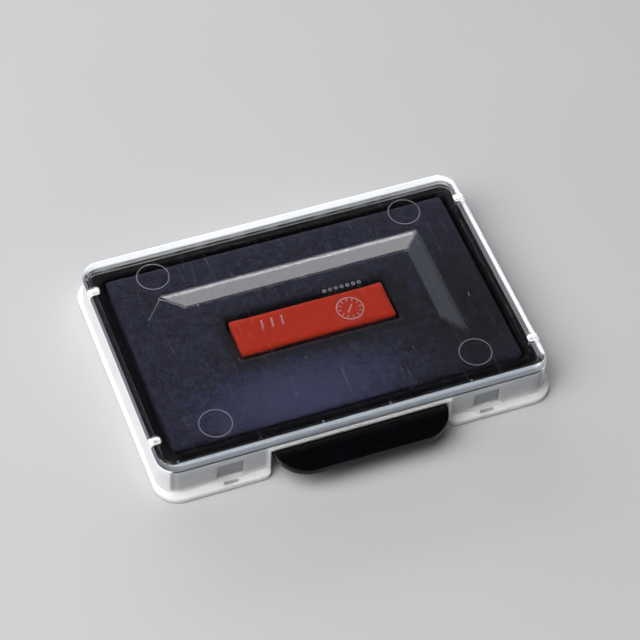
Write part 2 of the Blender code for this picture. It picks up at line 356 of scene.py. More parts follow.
def add_side_loop(cap, side_x, side_y, material):
    """A slotted ring that reaches in from a post on the side wall."""
    centre_y = side_y * LOOP_Y
    ring_bottom = LOOP_TOP - LOOP_THICK
    outline = tongue_outline(
        side_x * LOOP_TIP, side_x * WALL_X, centre_y, LOOP_HALF, LOOP_CORNER,
    )
    combine(cap, prism("loop", outline, ring_bottom, LOOP_TOP, material), "UNION")
    low_x, high_x = sorted((side_x * (INNER_X - LOOP_FIT), side_x * (WALL_X - LOOP_FIT)))
    half = LOOP_HALF - LOOP_FIT
    outline = box_outline(low_x, high_x, centre_y - half, centre_y + half)
    post = prism("post", outline, LOOP_BOTTOM, LOOP_TOP - LOOP_THICK / 2, material)
    combine(cap, post, "UNION")
    outline = tongue_outline(
        side_x * (LOOP_TIP + LOOP_RIM), side_x * (INNER_X - LOOP_FIT), centre_y,
        LOOP_SLOT_HALF, LOOP_SLOT_HALF * 0.9,
    )
    slot = prism("slot", outline, LOOP_BOTTOM - CUTTER_PAST, LOOP_TOP + CUTTER_PAST, material)
    combine(cap, slot, "DIFFERENCE")


def add_latch_panel(cap, side_x, side_y, material):
    """A dent in the wall and the slit in the flange below it."""
    centre_x = side_x * LATCH_X
    half = LATCH_WIDTH / 2
    low_y, high_y = sorted((side_y * (WALL_Y - LATCH_DEPTH), side_y * (WALL_Y + CUTTER_PAST)))
    outline = box_outline(centre_x - half, centre_x + half, low_y, high_y)
    dent = prism("dent", outline, FLANGE_THICK + LATCH_SILL, LATCH_TOP, material)
    combine(cap, dent, "DIFFERENCE")
    slit_y = side_y * (WALL_Y + FLANGE_Y) / 2
    outline = box_outline(
        centre_x - SLIT_LENGTH / 2, centre_x + SLIT_LENGTH / 2,
        slit_y - SLIT_WIDTH / 2, slit_y + SLIT_WIDTH / 2,
    )
    slit = prism("slit", outline, -CUTTER_PAST, FLANGE_THICK + CUTTER_PAST, material)
    combine(cap, slit, "DIFFERENCE")


def add_latch_foot(cap, side_x, side_y, material):
    """A low ramp on the flange that fills the foot of the dent."""
    centre_x = side_x * LATCH_X
    foot_x = LATCH_WIDTH / 2 + LATCH_FOOT_FLARE
    work = bmesh.new()
    levels = (
        (foot_x, WALL_Y + LATCH_FOOT_OUT, FLANGE_THICK - MARK_SINK),
        (LATCH_WIDTH / 2, WALL_Y, FLANGE_THICK + LATCH_FOOT_RISE),
    )
    for half, outer_y, z in levels:
        for x in (centre_x - half, centre_x + half):
            for y in (WALL_Y - LATCH_FOOT_IN, outer_y):
                work.verts.new((x, side_y * y, z))
    bmesh.ops.convex_hull(work, input=work.verts)
    combine(cap, mesh_object("foot", work, material), "UNION")


def add_notch_bead(cap, material):
    """A raised rim round the notch: two posts and a bar, cut to shape by the notch."""
    inside = WALL_Y - WALL / 2
    outside = WALL_Y + BEAD_PROUD
    outer_x = NOTCH_X + BEAD_WIDTH
    outline = box_outline(-outer_x, outer_x, -outside, -inside)
    top = NOTCH_TOP + BEAD_WIDTH
    combine(cap, prism("bead", outline, FLANGE_THICK - MARK_SINK, top, material), "UNION")


def build_cap_frame(material):
    """White walls on a flange, open at the top and the bottom."""
    flange = (FLANGE_X, FLANGE_Y, FLANGE_CORNER)
    wall = (WALL_X, WALL_Y, WALL_CORNER)
    inner = (INNER_X, INNER_Y, INNER_CORNER)
    # Each line: half sizes and corner, height, and how far the edge there is rounded.
    rings = soften([
        (*flange, 0.0, 0.2 * MM),
        (*flange, FLANGE_THICK, 0.12 * MM),
        (*wall, FLANGE_THICK, 0.2 * MM),
        (*wall, WALL_TOP, 0.16 * MM),
        (*inner, WALL_TOP, 0.3 * MM),
        (*inner, 0.0, 0.2 * MM),
    ])
    cap = stacked_rings("cap_frame_moulding", rings, material, closed=True)
    for side_x, side_y in CORNERS:
        add_side_loop(cap, side_x, side_y, material)
        add_latch_panel(cap, side_x, side_y, material)
        add_latch_foot(cap, side_x, side_y, material)
    add_notch_bead(cap, material)
    notch = prism("notch", notch_outline(), -CUTTER_PAST, NOTCH_TOP, material)
    combine(cap, notch, "DIFFERENCE")
    break_edges(cap, CAP_BREAK)
    place(cap, "cap", "white_plastic", "cap_frame")


# ---------------------------------------------------------------- window

def ridge(work, points, width, height, z, closed=False):
    """A low round-topped ridge along a line on the plate, standing at height z."""
    half = width / 2
    section = (
        (-half, -MARK_SINK), (half, -MARK_SINK), (half, 0.0),
        (half / 2, height), (-half / 2, height), (-half, 0.0),
    )
    count = len(points)
    loops = []
    for index, point in enumerate(points):
        before = points[index - 1] if closed or index > 0 else point
        after = points[(index + 1) % count] if closed or index < count - 1 else point
        along = Vector((after[0] - before[0], after[1] - before[1])).normalized()
        loops.append([
            work.verts.new((point[0] - along.y * out, point[1] + along.x * out, z + up))
            for out, up in section
        ])
    pairs = list(zip(loops, loops[1:]))
    if closed:
        pairs.append((loops[-1], loops[0]))
    faces = []
    for first, second in pairs:
        for index in range(len(section)):
            after = (index + 1) % len(section)
            faces.append(work.faces.new((first[index], first[after], second[after], second[index])))
    if not closed:
        faces.append(work.faces.new(loops[0]))
        faces.append(work.faces.new(loops[-1]))
    return faces


def circle(centre, radius, steps):
    """Points round a circle."""
    turns = [2 * math.pi * step / steps for step in range(steps)]
    return [(centre[0] + radius * math.cos(a), centre[1] + radius * math.sin(a)) for a in turns]


def add_ring_marks(work):
    """An ejector ring near each corner of the plate."""
    for side_x, side_y in CORNERS:
        ring = circle((side_x * RING_PLACE[0], side_y * RING_PLACE[1]), RING_RADIUS, 48)
        ridge(work, ring, RING_WIDTH, RING_HEIGHT, PLATE_TOP, closed=True)


def add_dial_mark(work):
    """A moulder's dial on the raised panel: a ring, twelve ticks and a pointer."""
    centre = Vector(DIAL_PLACE)
    dial = circle(centre, DIAL_RADIUS, 40)
    ridge(work, dial, LINE_WIDTH, LINE_HEIGHT, PANEL_Z, closed=True)
    for tick in range(DIAL_TICKS):
        angle = 2 * math.pi * tick / DIAL_TICKS
        out = Vector((math.cos(angle), math.sin(angle)))
        ends = [centre + out * DIAL_RADIUS * share for share in TICK_SPAN]
        ridge(work, ends, TICK_WIDTH, TICK_HEIGHT, PANEL_Z)
    aim = Vector((math.cos(POINTER_TURN), math.sin(POINTER_TURN)))
    ends = [centre - aim * POINTER_HALF, centre + aim * POINTER_HALF]
    ridge(work, ends, LINE_WIDTH, LINE_HEIGHT, PANEL_Z)


def add_bar_marks(work):
    """Cavity marks on the raised panel: three short bars, and a row of pips."""
    for bar in range(BAR_COUNT):
        x = BAR_START + BAR_STEP * bar
        ends = [(x, -BAR_HALF), (x + BAR_LEAN, BAR_HALF)]
        ridge(work, ends, BAR_WIDTH, BAR_HEIGHT, PANEL_Z)
    for pip in range(PIP_COUNT):
        centre = (PIP_START[0] + PIP_STEP * pip, PIP_START[1])
        ridge(work, circle(centre, PIP_RADIUS, 10), PIP_WIDTH, LINE_HEIGHT, PANEL_Z, closed=True)


def add_flow_marks(work):
    """Thin weld lines where the plastic met round the raised panel's corners."""
    lines = (
        ((-25.5, 7.2), (-24.0, 8.9), (-22.6, 10.6)),
        ((-22.4, 10.2), (-22.0, 9.3), (-21.2, 8.8), (-20.2, 8.8)),
        ((-16.8, 8.4), (-16.4, 5.4), (-15.2, 4.2)),
        ((12.8, -11.6), (13.8, -9.6), (15.4, -7.8)),
        ((25.5, -4.6), (25.6, -3.8)),
    )
    for line in lines:
        points = [Vector((x * MM, y * MM)) for x, y in line]
        smooth = []
        for index in range(len(points) - 1):
            before = points[max(index - 1, 0)]
            after = points[min(index + 2, len(points) - 1)]
            for step in range(4):
                share = step / 4
                smooth.append(catmull(before, points[index], points[index + 1], after, share))
        smooth.append(points[-1])
        ridge(work, smooth, WELD_WIDTH, WELD_HEIGHT, PLATE_TOP)


def catmull(before, start, end, after, share):
    """A point on the smooth curve through start and end."""
    return 0.5 * (
        2 * start
        + (end - before) * share
        + (2 * before - 5 * start + 4 * end - after) * share ** 2
        + (3 * start - before - 3 * end + after) * share ** 3
    )


def add_gate_nubs(work):
    """Trimmed gates along the plate's front edge."""
    for x in NUB_PLACES:
        nub = circle((x, -(WALL_Y - NUB_INSET)), NUB_RADIUS, 10)
        ridge(work, nub, NUB_WIDTH, NUB_HEIGHT, PLATE_TOP, closed=True)


def inset_from_wall(point):
    """How far a point lies inside the plate's rounded outline."""
    past_x = abs(point.x) - (WALL_X - WALL_CORNER)
    past_y = abs(point.y) - (WALL_Y - WALL_CORNER)
    if past_x > 0 and past_y > 0:
        return WALL_CORNER - math.hypot(past_x, past_y)
    return WALL_CORNER - max(past_x, past_y)


def finish_edges(plate, rim, rib):
    """The plate's outer edge is dull, and its locating rib has its own finish."""
    plate.data.materials.append(rim)
    plate.data.materials.append(rib)
    rim_place = len(plate.data.materials) - 2
    rib_place = len(plate.data.materials) - 1
    for face in plate.data.polygons:
        if face.center.z < PLATE_UNDER - RIB_FADE:
            face.material_index = rib_place
        else:
            at_side = abs(face.center.x) > WALL_X - WALL_CORNER / 2
            reach = PLATE_EDGE * (SIDE_EDGE_SHARE if at_side else 1.0)
            if inset_from_wall(face.center) < reach and face.normal.z < EDGE_FACE_TILT:
                face.material_index = rim_place


def build_window(clear, frosted, rim, rib):
    """Clear plate on the frame's rim, with its centre panel raised."""
    wall = (WALL_X, WALL_Y, WALL_CORNER)
    rib_out = (RAIL_X, RAIL_Y, INNER_CORNER - GAP)
    rib_in = (RAIL_X - RIB_WIDTH, RAIL_Y - RIB_WIDTH, INNER_CORNER - GAP - RIB_WIDTH)
    panel_top = (*PANEL_TOP, PANEL_CORNER)
    panel_foot = (*PANEL_FOOT, PANEL_CORNER)
    rise = PANEL_Z - PLATE_TOP
    middle = (PANEL_TOP[0] / 2, PANEL_TOP[1] / 2, PANEL_CORNER)
    # Each line: half sizes and corner, height, and how far the edge there is rounded.
    rings = soften([
        (*middle, PANEL_Z, 0),
        (*panel_top, PANEL_Z, PANEL_EDGE),
        (*panel_foot, PLATE_TOP, PANEL_EDGE),
        (*wall, PLATE_TOP, PLATE_EDGE),
        (*wall, PLATE_UNDER, 0.12 * MM),
        (*rib_out, PLATE_UNDER, 0.05 * MM),
        (*rib_out, RIB_BOTTOM, 0.1 * MM),
        (*rib_in, RIB_BOTTOM, 0.1 * MM),
        (*rib_in, PLATE_UNDER, 0.05 * MM),
        (*panel_foot, PLATE_UNDER, PANEL_EDGE),
        (*panel_top, PLATE_UNDER + rise, PANEL_EDGE),
        (*middle, PLATE_UNDER + rise, 0),
    ])
    plate = stacked_rings("window_plate", rings, clear)
    for side_x, side_y in CORNERS:
        outline = tongue_outline(
            side_x * (LOOP_TIP - LOOP_FIT), side_x * (WALL_X + CUTTER_PAST),
            side_y * LOOP_Y, LOOP_HALF + LOOP_FIT, LOOP_CORNER + 0.05 * MM,
        )
        cut = prism("cut", outline, RIB_BOTTOM - CUTTER_PAST, PANEL_Z + CUTTER_PAST, clear)
        combine(plate, cut, "DIFFERENCE")
    work = bmesh.new()
    add_ring_marks(work)
    add_dial_mark(work)
    add_bar_marks(work)
    add_flow_marks(work)
    add_gate_nubs(work)
    marks = mesh_object("marks", work, frosted)
    combine(plate, marks, "UNION")
    finish_edges(plate, rim, rib)
    break_edges(plate, WINDOW_BREAK)
    for face in plate.data.polygons:
        face.use_smooth = face.area < FLAT_AREA
    place(plate, "cap", "clear_plastic", "clear_window")


# ---------------------------------------------------------------- cartridge

def grip_outline():
    """Half-moon grip: a straight front edge between two quarter circles."""
    bend_x = GRIP_X - GRIP_CORNER
    bend_y = -(GRIP_FRONT - GRIP_CORNER)
    right = [(GRIP_X, -(TUB_Y - TUB_WALL / 2))]
    for step in range(2 * CORNER_STEPS + 1):
        angle = math.radians(90.0 * step / (2 * CORNER_STEPS))
        x = bend_x + GRIP_CORNER * math.cos(angle)
        y = bend_y - GRIP_CORNER * math.sin(angle)
        right.append((x, y))
    left = [(-x, y) for x, y in reversed(right)]
    return right + left


def build_cartridge(material):
    """Black tub with a rail all round, a divider round the date well, and the grip."""
    tub = (TUB_X, TUB_Y, TUB_CORNER)
    rail = (RAIL_X, RAIL_Y, INNER_CORNER - GAP)
    well = (TUB_X - TUB_WALL, TUB_Y - TUB_WALL, TUB_CORNER - TUB_WALL)
    divider = (DIVIDER_X, DIVIDER_Y, DIVIDER_CORNER)
    cup = (DIVIDER_X - DIVIDER_WALL, DIVIDER_Y - DIVIDER_WALL, DIVIDER_CORNER / 2)
    # Each line: half sizes and corner, height, and how far the edge there is rounded.
    rings = soften([
        (TUB_X / 2, TUB_Y / 2, TUB_CORNER, 0.0, 0),
        (*tub, 0.0, 0.3 * MM),
        (*tub, RAIL_BOTTOM, 0.12 * MM),
        (*rail, RAIL_BOTTOM, 0.15 * MM),
        (*rail, RAIL_TOP, 0.15 * MM),
        (*tub, RAIL_TOP, 0.12 * MM),
        (*tub, TUB_TOP, 0.15 * MM),
        (*well, TUB_TOP, 0.15 * MM),
        (*well, TUB_FLOOR, 0.3 * MM),
        (*divider, TUB_FLOOR, 0.2 * MM),
        (*divider, DIVIDER_TOP, 0.15 * MM),
        (*cup, DIVIDER_TOP, 0.15 * MM),
        (*cup, TUB_FLOOR, 0.1 * MM),
        (cup[0] / 2, cup[1] / 2, cup[2], TUB_FLOOR, 0),
    ])
    cartridge = stacked_rings("cartridge_moulding", rings, material)
    grip = prism("grip", grip_outline(), GRIP_BOTTOM, GRIP_TOP, material)
    combine(cartridge, grip, "UNION")
    break_edges(cartridge, CARTRIDGE_BREAK)
    place(cartridge, "cartridge", "black_plastic", "ink_cartridge")


# ---------------------------------------------------------------- pads

def swell(pad, reach):
    """Blow the pad up a little with Blender's Cloth, on a larger copy of its size."""
    scene = bpy.context.scene
    start = [vertex.co.copy() for vertex in pad.data.vertices]
    cloth = pad.modifiers.new("swell", "CLOTH")
    cloth.settings.use_pressure = True
    cloth.settings.uniform_pressure_force = SIM_PRESSURE
    cloth.settings.effector_weights.gravity = 0.0
    cloth.point_cache.frame_start = 1
    cloth.point_cache.frame_end = SIM_FRAMES
    for number in range(1, SIM_FRAMES + 1):
        scene.frame_set(number)
    settle(pad)
    for vertex, before in zip(pad.data.vertices, start):
        move = vertex.co - before
        if move.length > reach:
            vertex.co = before + move.normalized() * reach
    scene.frame_set(1)


def fibre_height(point, grain):
    """How far the felt stands up at a point, from -1 to 1: lumps and tufts."""
    lump = noise.noise(point / (6.0 * grain))
    tuft = noise.noise(point / grain + Vector((7.1, 3.3, 1.7)))
    return 0.5 * lump + 0.5 * tuft


def finish_pad(pad, low, high, grain, height):
    """Subdivide, raise the fibres along the normals and keep inside the CAD solid."""
    fine = pad.modifiers.new("fine", "SUBSURF")
    fine.levels = 1
    fine.render_levels = 1
    settle(pad)
    raised = []
    for vertex in pad.data.vertices:
        raised.append(vertex.co + vertex.normal * height * fibre_height(vertex.co, grain))
    for vertex, point in zip(pad.data.vertices, raised):
        vertex.co = [min(max(part, least), most) for part, least, most in zip(point, low, high)]
    pad.data.shade_smooth()


def build_pad(name, node, hole, voxel, grain, height, material, slot):
    """One pad layer: a rounded slab, remeshed, swollen and given its fibres."""
    low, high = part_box(node)
    room = SWELL_ROOM
    outer = (high.x - room, high.y - room, FELT_CORNER if hole else DATE_CORNER)
    bottom = low.z + room / 2
    top = high.z - room
    if hole:
        hole = (hole[0] + room, hole[1] + room, hole[2])
        corners = [
            (*outer, bottom, PAD_EDGE), (*outer, top, PAD_EDGE),
            (*hole, top, PAD_EDGE), (*hole, bottom, PAD_EDGE),
        ]
    else:
        centre = (outer[0] / 2, outer[1] / 2, outer[2] / 2)
        corners = [
            (*centre, bottom, 0), (*outer, bottom, PAD_EDGE),
            (*outer, top, PAD_EDGE), (*centre, top, 0),
        ]
    pad = stacked_rings(name, soften(corners), material, closed=bool(hole))
    pad.data.transform(Matrix.Scale(SIM_SCALE, 4))
    remesh = pad.modifiers.new("even", "REMESH")
    remesh.mode = "VOXEL"
    remesh.voxel_size = voxel * SIM_SCALE
    settle(pad)
    swell(pad, room * SIM_SCALE)
    pad.data.transform(Matrix.Scale(1.0 / SIM_SCALE, 4))
    finish_pad(pad, low, high, grain, height)
    place(pad, "cartridge", slot, node)
    return pad


# ---------------------------------------------------------------- materials

class Nodes:
    """Short ways to add and join a material's nodes."""

    def __init__(self, name):
        self.material = bpy.data.materials.new(name)
        self.material.use_nodes = True
        self.tree = self.material.node_tree
        self.shader = self.tree.nodes["Principled BSDF"]
        self.output = self.tree.nodes["Material Output"]
        self.coords = self.add("ShaderNodeTexCoord").outputs["Object"]

    def add(self, kind, **values):
        node = self.tree.nodes.new(kind)
        for name, value in values.items():
            setattr(node, name, value)
        return node

    def join(self, output, socket):
        self.tree.links.new(output, socket)

    def fill(self, socket, value):
        """A socket takes a link or a plain value."""
        if isinstance(value, bpy.types.NodeSocket):
            self.join(value, socket)
        else:
            socket.default_value = value

    def mapped(self, scale=(1, 1, 1), turn=(0, 0, 0)):
        node = self.add("ShaderNodeMapping")
        self.join(self.coords, node.inputs["Vector"])
        node.inputs["Scale"].default_value = scale
        node.inputs["Rotation"].default_value = [math.radians(angle) for angle in turn]
        return node.outputs["Vector"]

    def noise(self, size, detail=3.0, rough=0.5, warp=0.0, vector=None):
        """Noise with features of about this size in metres."""
        node = self.add("ShaderNodeTexNoise")
        self.join(vector or self.coords, node.inputs["Vector"])
        node.inputs["Scale"].default_value = 1.0 / size
        node.inputs["Detail"].default_value = detail
        node.inputs["Roughness"].default_value = rough
        node.inputs["Distortion"].default_value = warp
        return node.outputs["Fac"]

    def cells(self, size, feature="F1", vector=None):
        """Distance to the nearest of scattered points of about this spacing."""
        node = self.add("ShaderNodeTexVoronoi", feature=feature)
        self.join(vector or self.coords, node.inputs["Vector"])
        node.inputs["Scale"].default_value = 1.0 / size
        return node.outputs["Distance"]

    def math(self, operation, first, second=0.0):
        node = self.add("ShaderNodeMath", operation=operation)
        self.fill(node.inputs[0], first)
        self.fill(node.inputs[1], second)
        return node.outputs["Value"]

    def product(self, first, *others):
        """All of these values multiplied together."""
        for other in others:
            first = self.math("MULTIPLY", first, other)
        return first

    def span(self, value, low, high, to_low=0.0, to_high=1.0, smooth=False):
        """Map a value's range to another, clamped."""
        node = self.add("ShaderNodeMapRange")
        node.interpolation_type = "SMOOTHSTEP" if smooth else "LINEAR"
        self.fill(node.inputs["Value"], value)
        node.inputs["From Min"].default_value = low
        node.inputs["From Max"].default_value = high
        node.inputs["To Min"].default_value = to_low
        node.inputs["To Max"].default_value = to_high
        return node.outputs["Result"]

    def blend(self, share, first, second):
        """Mix two colours."""
        node = self.add("ShaderNodeMix", data_type="RGBA")
        self.fill(node.inputs[0], share)
        self.fill(node.inputs[6], first)
        self.fill(node.inputs[7], second)
        return node.outputs[2]

    def bump(self, height, strength, distance, before=None):
        node = self.add("ShaderNodeBump")
        node.inputs["Strength"].default_value = strength
        node.inputs["Distance"].default_value = distance
        self.join(height, node.inputs["Height"])
        if before:
            self.join(before, node.inputs["Normal"])
        return node.outputs["Normal"]

    def split(self):
        """The object's x, y and z."""
        node = self.add("ShaderNodeSeparateXYZ")
        self.join(self.coords, node.inputs[0])
        return node.outputs

    def set(self, **values):
        """Set the Principled shader's sockets, with underscores for spaces."""
        for name, value in values.items():
            self.fill(self.shader.inputs[name.replace("_", " ")], value)


def scratches(made, size, turn, share):
    """Thin sparse lines that run one way, as a mask."""
    vector = made.mapped(scale=(1.0, 0.035, 1.0), turn=(0, 0, turn))
    lines = made.noise(size, detail=2.0, rough=0.6, vector=vector)
    return made.span(lines, share, share + 0.02)


# Masks of the white plastic, all painted shade. Each pair is where a mask starts and ends to fade.
DENT_FADE = (-0.3 * MM, -0.1 * MM)      # these three from the wall's outer face
SKIN_FADE = (-0.6 * MM, -0.4 * MM)
PROUD_FADE = (0.02 * MM, 0.1 * MM)
FLANGE_FADE = (0.0, 0.9 * MM)           # above the flange
NOTCH_FADE = (0.0, 1.0 * MM)            # beside the notch
INNER_SHADE_FACE = (0.1 * MM, 0.2 * MM)        # from the wall's inner face
INNER_SHADE_CORNER = (-1.0 * MM, -0.7 * MM)
INNER_SHADE_FOOT = (4.4 * MM, 4.8 * MM)        # heights
INNER_SHADE_TOP = (5.0 * MM, 5.6 * MM)
EDGE_SHADOW_RISE = (-0.12 * MM, -0.05 * MM)     # from the wall's top
EDGE_SHADOW_REACH = (0.4 * MM, 0.5 * MM)        # from the front wall's outer face


def from_face(place, fade):
    """The two ends of a fade that is measured from this place."""
    return [place + step for step in fade]


def painted_wall_shade(made):
    """Painted shade on the long walls' outer faces, dents most: the black cartridge seen through
    them.
    """
    x, y, z = made.split()
    out = made.math("ABSOLUTE", y)
    dent = made.span(out, *from_face(WALL_Y, DENT_FADE), 1.0, 0.7)
    skin = made.span(out, *from_face(WALL_Y, SKIN_FADE))
    proud = made.span(out, *from_face(WALL_Y, PROUD_FADE), 1.0, 0.0)
    above = made.span(z, *from_face(FLANGE_THICK, FLANGE_FADE))
    beside = made.span(made.math("ABSOLUTE", x), *from_face(NOTCH_X, NOTCH_FADE))
    return made.product(dent, skin, proud, above, beside)


def painted_inner_shade(made):
    """A band of painted shade inside the walls, level with the pads' tops."""
    x, y, z = made.split()
    out_x = made.math("ABSOLUTE", x)
    out_y = made.math("ABSOLUTE", y)
    inside_x = made.span(out_x, *from_face(INNER_X, INNER_SHADE_FACE), 1.0, 0.0)
    inside_y = made.span(out_y, *from_face(INNER_Y, INNER_SHADE_FACE), 1.0, 0.0)
    out_both = made.math("ADD", out_x, out_y)
    corner = from_face(INNER_X + INNER_Y, INNER_SHADE_CORNER)
    inside_corner = made.span(out_both, *corner, 1.0, 0.0)
    low = made.span(z, *INNER_SHADE_FOOT)
    high = made.span(z, *INNER_SHADE_TOP, 1.0, 0.0)
    share = made.span(made.noise(2.5 * MM, detail=4.0), 0.3, 0.55, 0.6, 0.95)
    return made.product(share, inside_x, inside_y, inside_corner, low, high)


def painted_edge_shadow(made):
    """A painted shadow: a dark line along the front wall's top, under the window's edge."""
    _, y, z = made.split()
    high = made.span(z, *from_face(WALL_TOP, EDGE_SHADOW_RISE))
    front = made.span(y, *from_face(-WALL_Y, EDGE_SHADOW_REACH), 0.92, 0.0)
    return made.product(high, front)


def white_plastic():
    """Milky moulded polypropylene: light passes a little way into it.

    Its three masks are painted shade, placed as the photo shows the cap when it is on.
    """
    made = Nodes("cap_white_plastic")
    cloud = made.noise(9 * MM, detail=3.0)
    grain = made.noise(0.22 * MM, detail=3.0, rough=0.6)
    pale = made.blend(made.span(cloud, 0.35, 0.65), (0.86, 0.865, 0.87, 1), (0.9, 0.9, 0.89, 1))
    scuff = scratches(made, 0.5 * MM, 20, 0.68)
    colour = made.blend(made.math("MULTIPLY", scuff, 0.3), pale, (0.7, 0.71, 0.73, 1))
    # Painted shade on the long walls, for the black cartridge seen through them.
    colour = made.blend(painted_wall_shade(made), colour, (0.33, 0.34, 0.36, 1))
    # A band of painted shade inside the walls, level with the pads' tops.
    colour = made.blend(painted_inner_shade(made), colour, (0.012, 0.012, 0.018, 1))
    # A painted shadow line along the front wall's top, under the window's edge.
    colour = made.blend(painted_edge_shadow(made), colour, (0.03, 0.032, 0.036, 1))
    rough = made.span(made.noise(2.2 * MM, detail=4.0), 0.3, 0.7, 0.28, 0.44)
    made.set(
        Base_Color=colour, Roughness=rough, IOR=1.49, Subsurface_Weight=1.0,
        Subsurface_Scale=2.2 * MM,
    )
    made.shader.inputs["Subsurface Radius"].default_value = (1.0, 1.0, 1.0)
    made.set(Normal=made.bump(grain, 0.25, 0.012 * MM))
    return made.material


def black_plastic():
    """Black moulded polystyrene with a fine spark-eroded grain and faint ink smears."""
    made = Nodes("cartridge_black_plastic")
    cloud = made.noise(6 * MM, detail=4.0)
    smear = made.span(made.noise(3 * MM, detail=5.0, rough=0.7, warp=1.5), 0.55, 0.75)
    black = made.blend(cloud, (0.0008, 0.0008, 0.001, 1), (0.002, 0.002, 0.0024, 1))
    colour = made.blend(made.math("MULTIPLY", smear, 0.5), black, (0.003, 0.0025, 0.009, 1))
    grain = made.noise(0.16 * MM, detail=2.0)
    rough = made.span(made.noise(1.6 * MM, detail=4.0), 0.3, 0.7, 0.14, 0.24)
    made.set(Base_Color=colour, Roughness=rough, IOR=1.5, Specular_IOR_Level=0.2)
    made.set(Normal=made.bump(grain, 0.1, 0.02 * MM))
    return made.material


def near_window(made, half_x, half_y, shift_y, reach):
    """1 at a rectangle round the centre, fading to 0 at this distance from it."""
    x, y, _ = made.split()
    across = made.math("SUBTRACT", made.math("ABSOLUTE", x), half_x)
    along = made.math("SUBTRACT", made.math("ABSOLUTE", made.math("SUBTRACT", y, shift_y)), half_y)
    across = made.math("MAXIMUM", across, 0.0)
    along = made.math("MAXIMUM", along, 0.0)
    square = made.math("ADD", made.math("POWER", across, 2.0), made.math("POWER", along, 2.0))
    far = made.math("SQRT", square)
    return made.span(far, 0.0, reach, 1.0, 0.0, smooth=True)


def patch(made, centre, size):
    """A soft round patch of this centre and half size, 1 in its middle."""
    x, y, _ = made.split()
    across = made.math("DIVIDE", made.math("SUBTRACT", x, centre[0]), size[0])
    along = made.math("DIVIDE", made.math("SUBTRACT", y, centre[1]), size[1])
    square = made.math("ADD", made.math("POWER", across, 2.0), made.math("POWER", along, 2.0))
    return made.span(made.math("SQRT", square), 0.0, 1.0, 1.0, 0.0, smooth=True)


# Painted shade on the felts' cut sides fades in over this span.
CUT_SIDE_SHADE_FADE = (-0.55 * MM, -0.3 * MM)     # from the felt's top


def felt(name, top, dark, light, glint_colour, painted_patches):
    """Ink-soaked needled felt: fine fibres, tufts, painted glints of wet ink and painted shade on
    its cut sides.
    """
    made = Nodes(name)
    fibre = made.noise(0.3 * MM, detail=3.0, rough=0.7, warp=0.6)
    tuft = made.noise(1.1 * MM, detail=3.0, rough=0.6)
    share = made.math("ADD", made.math("MULTIPLY", fibre, 0.7), made.math("MULTIPLY", tuft, 0.3))
    # The pad's painted light and shade is added to the fibres here.
    share = made.math("ADD", made.span(share, 0.4, 0.6), painted_patches(made))
    body = made.blend(made.span(share, 0.15, 1.4), dark, light)
    # Painted glints: lighter specks of colour.
    glint_spots = made.span(made.cells(0.42 * MM), 0.0, 0.16, 1.0, 0.0)
    some = made.span(made.noise(1.1 * MM, detail=2.0), 0.52, 0.62)
    colour = made.blend(made.product(glint_spots, some, 0.7), body, glint_colour)
    # Painted shade on the cut sides, below the felt's top.
    _, _, z = made.split()
    side = made.span(z, *from_face(top, CUT_SIDE_SHADE_FADE), 0.88, 0.0)
    colour = made.blend(side, colour, (0.002, 0.0015, 0.003, 1))
    rough = made.span(fibre, 0.3, 0.7, 0.62, 0.95)
    made.set(
        Base_Color=colour, Roughness=rough, Specular_IOR_Level=0.12,
        Sheen_Weight=0.03, Sheen_Roughness=0.5,
    )
    rise = made.math("ADD", made.math("MULTIPLY", fibre, 0.7), made.math("MULTIPLY", tuft, 0.6))
    made.set(Normal=made.bump(rise, 0.6, 0.12 * MM))
    return made.material


def violet_light_and_shade(made):
    """Painted light and shade: lighter at the front's middle, painted shade at the right and beside
    the date well.
    """
    front = made.product(patch(made, (-7 * MM, -14 * MM), (24 * MM, 10 * MM)), 1.1)
    right = made.product(patch(made, (27 * MM, -7 * MM), (22 * MM, 24 * MM)), -0.5)
    well = made.product(near_window(made, 13.4 * MM, 3.8 * MM, -0.6 * MM, 3.5 * MM), -0.55)
    return made.math("ADD", made.math("ADD", front, right), well)


def no_painted_light(made):
    """An even pad, with no painted light or shade."""
    return 0.0


def foam(name, dark, light):
    """Open-cell foam, with painted shade in its pores."""
    made = Nodes(name)
    pore = made.cells(0.5 * MM)
    body = made.noise(2.5 * MM, detail=3.0)
    # Painted shade in the pores.
    colour = made.blend(made.span(pore, 0.1, 0.6), dark, made.blend(body, dark, light))
    made.set(Base_Color=colour, Roughness=made.span(pore, 0.0, 0.6, 0.95, 0.75))
    made.set(Normal=made.bump(pore, 0.8, 0.2 * MM))
    return made.material


CLEAR_IOR = 1.57                    # refractive index of a clear styrene plastic


def let_light_through(made):
    """Shadows pass the clear plastic, so that what lies under it is lit."""
    clear = made.add("ShaderNodeBsdfTransparent")
    clear.inputs["Color"].default_value = (0.93, 0.93, 0.94, 1)
    path = made.add("ShaderNodeLightPath")
    mix = made.add("ShaderNodeMixShader")
    made.join(path.outputs["Is Shadow Ray"], mix.inputs[0])
    made.join(made.shader.outputs[0], mix.inputs[1])
    made.join(clear.outputs[0], mix.inputs[2])
    made.join(mix.outputs[0], made.output.inputs["Surface"])


